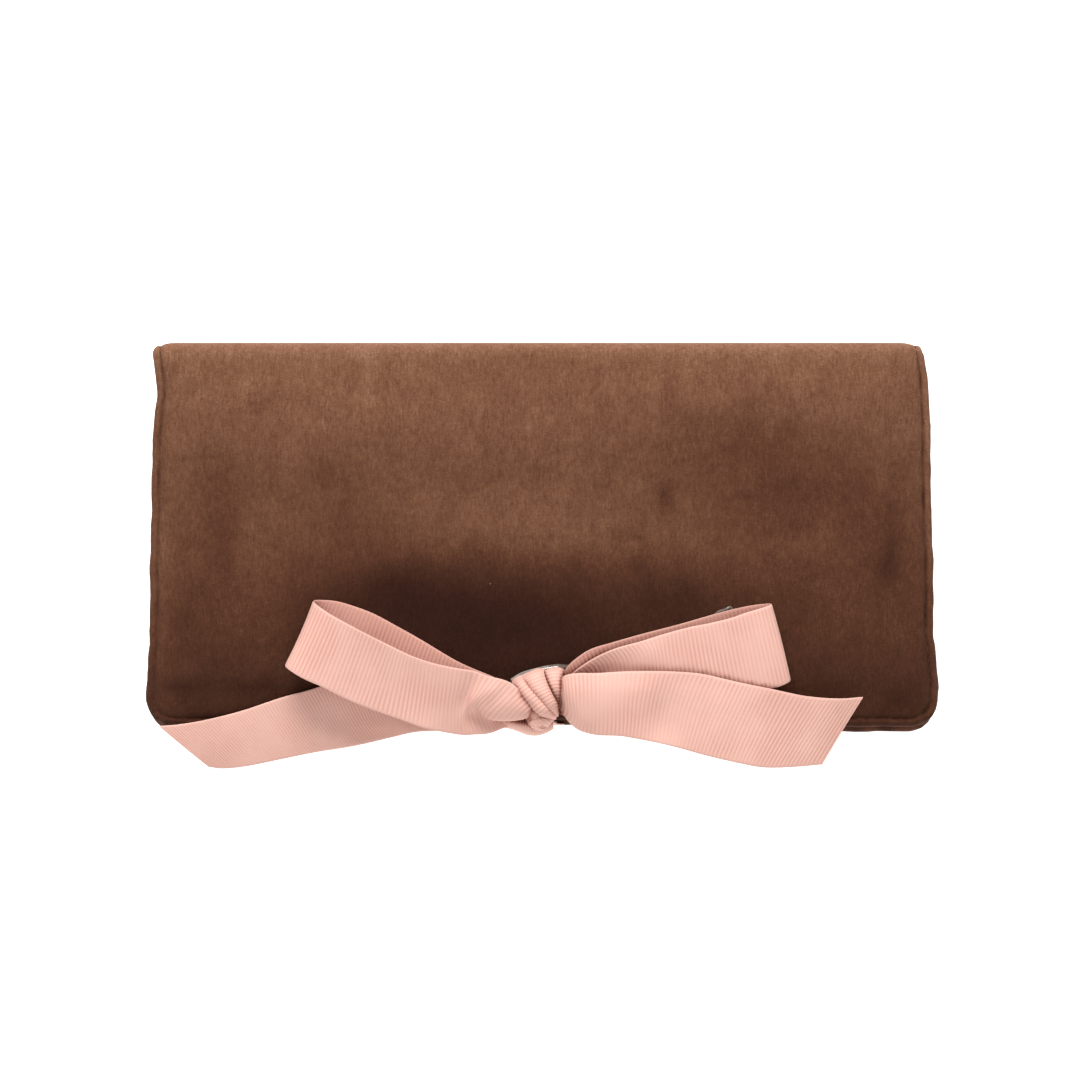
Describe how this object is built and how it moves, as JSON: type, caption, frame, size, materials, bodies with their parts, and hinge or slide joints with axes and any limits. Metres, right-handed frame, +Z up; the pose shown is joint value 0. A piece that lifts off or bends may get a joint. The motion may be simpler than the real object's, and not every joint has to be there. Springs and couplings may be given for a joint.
{
  "type": "jewelry roll",
  "caption": "Folded velvet jewelry roll with padded panels on a spine, lined zip pockets, a snap-down ring bar and a grosgrain ribbon bow tied at its near edge.",
  "frame": {"origin": "middle of the closed roll's flat underside, halfway between its two ends and between its near edge and its fold", "axes": "+X along the fold to the right, +Y from the near edge to the fold, +Z up through the closed roll"},
  "size_m": [0.222, 0.1213, 0.033],
  "materials": {
    "velvet": "short-pile brown velvet with a soft sheen",
    "padding": "white wadding",
    "lining": "rose-brown satin",
    "ribbon": "pink grosgrain with fine cross ribs",
    "zip_tape": "brown woven tape",
    "gilt": "polished pale gilt",
    "clear_film": "clear glossy film"
  },
  "bodies": {
    "back": {"back_cover": "velvet", "back_padding": "padding", "back_lining": "lining", "back_zip_upper_tape": "zip_tape", "back_zip_lower_tape": "zip_tape", "back_zip_teeth": "gilt", "back_zip_left_stop": "gilt", "back_zip_right_stop": "gilt", "back_pocket": "lining", "ring_bar_sewn_tab": "velvet", "snap_stud": "gilt", "back_tie": "ribbon"},
    "spine": {"spine_cover": "velvet", "spine_padding": "padding", "spine_lining": "lining"},
    "flap": {"flap_cover": "velvet", "flap_padding": "padding", "flap_lining": "lining", "flap_zip_upper_tape": "zip_tape", "flap_zip_lower_tape": "zip_tape", "flap_zip_teeth": "gilt", "flap_zip_left_stop": "gilt", "flap_zip_right_stop": "gilt", "flap_pocket": "lining", "front_tie": "ribbon", "bow_knot": "ribbon", "bow_left_loop": "ribbon", "bow_right_loop": "ribbon", "bow_left_tail": "ribbon", "bow_right_tail": "ribbon", "clear_bow_strip": "clear_film"},
    "ring_bar": {"ring_bar_sleeve": "velvet", "ring_bar_core": "padding", "ring_bar_left_end": "velvet", "ring_bar_right_end": "velvet", "ring_bar_snap_tab": "velvet", "snap_socket": "gilt", "snap_cap": "gilt"},
    "back_slider": {"back_zip_slider": "gilt"},
    "back_pull": {"back_zip_pull": "gilt"},
    "flap_slider": {"flap_zip_slider": "gilt"},
    "flap_pull": {"flap_zip_pull": "gilt"}
  },
  "joints": [
    {"name": "spine_fold", "type": "hinge", "parent": "back", "child": "spine", "pos_m": [0, 0.051, 0.003], "axis": [-1, 0, 0], "range_deg": [0, 90]},
    {"name": "flap_fold", "type": "hinge", "parent": "spine", "child": "flap", "pos_m": [0, 0.051, 0.024], "axis": [-1, 0, 0], "range_deg": [0, 86]},
    {"name": "ring_bar_lift", "type": "hinge", "parent": "back", "child": "ring_bar", "pos_m": [-0.08815, 0.034, 0.0067], "axis": [0, -1, 0], "range_deg": [0, 18.5]},
    {"name": "back_zip_slide", "type": "slide", "parent": "back", "child": "back_slider", "axis": [1, 0, 0], "range_m": [0, 0.161]},
    {"name": "back_pull_swing", "type": "hinge", "parent": "back_slider", "child": "back_pull", "pos_m": [-0.0805, 0.0137, 0.0103], "axis": [0, -1, 0], "range_deg": [0, 20]},
    {"name": "flap_zip_slide", "type": "slide", "parent": "flap", "child": "flap_slider", "axis": [-1, 0, 0], "range_m": [0, 0.161]},
    {"name": "flap_pull_swing", "type": "hinge", "parent": "flap_slider", "child": "flap_pull", "pos_m": [0.0805, 0.0046, 0.01116], "axis": [0, -0.9919, -0.1268], "range_deg": [0, 15]}
  ],
  "couplings": [
    {"joint": "flap_fold", "follows": "spine_fold", "ratio": 0.95},
    {"joint": "ring_bar_lift", "follows": "spine_fold", "ratio": 0.2}
  ]
}
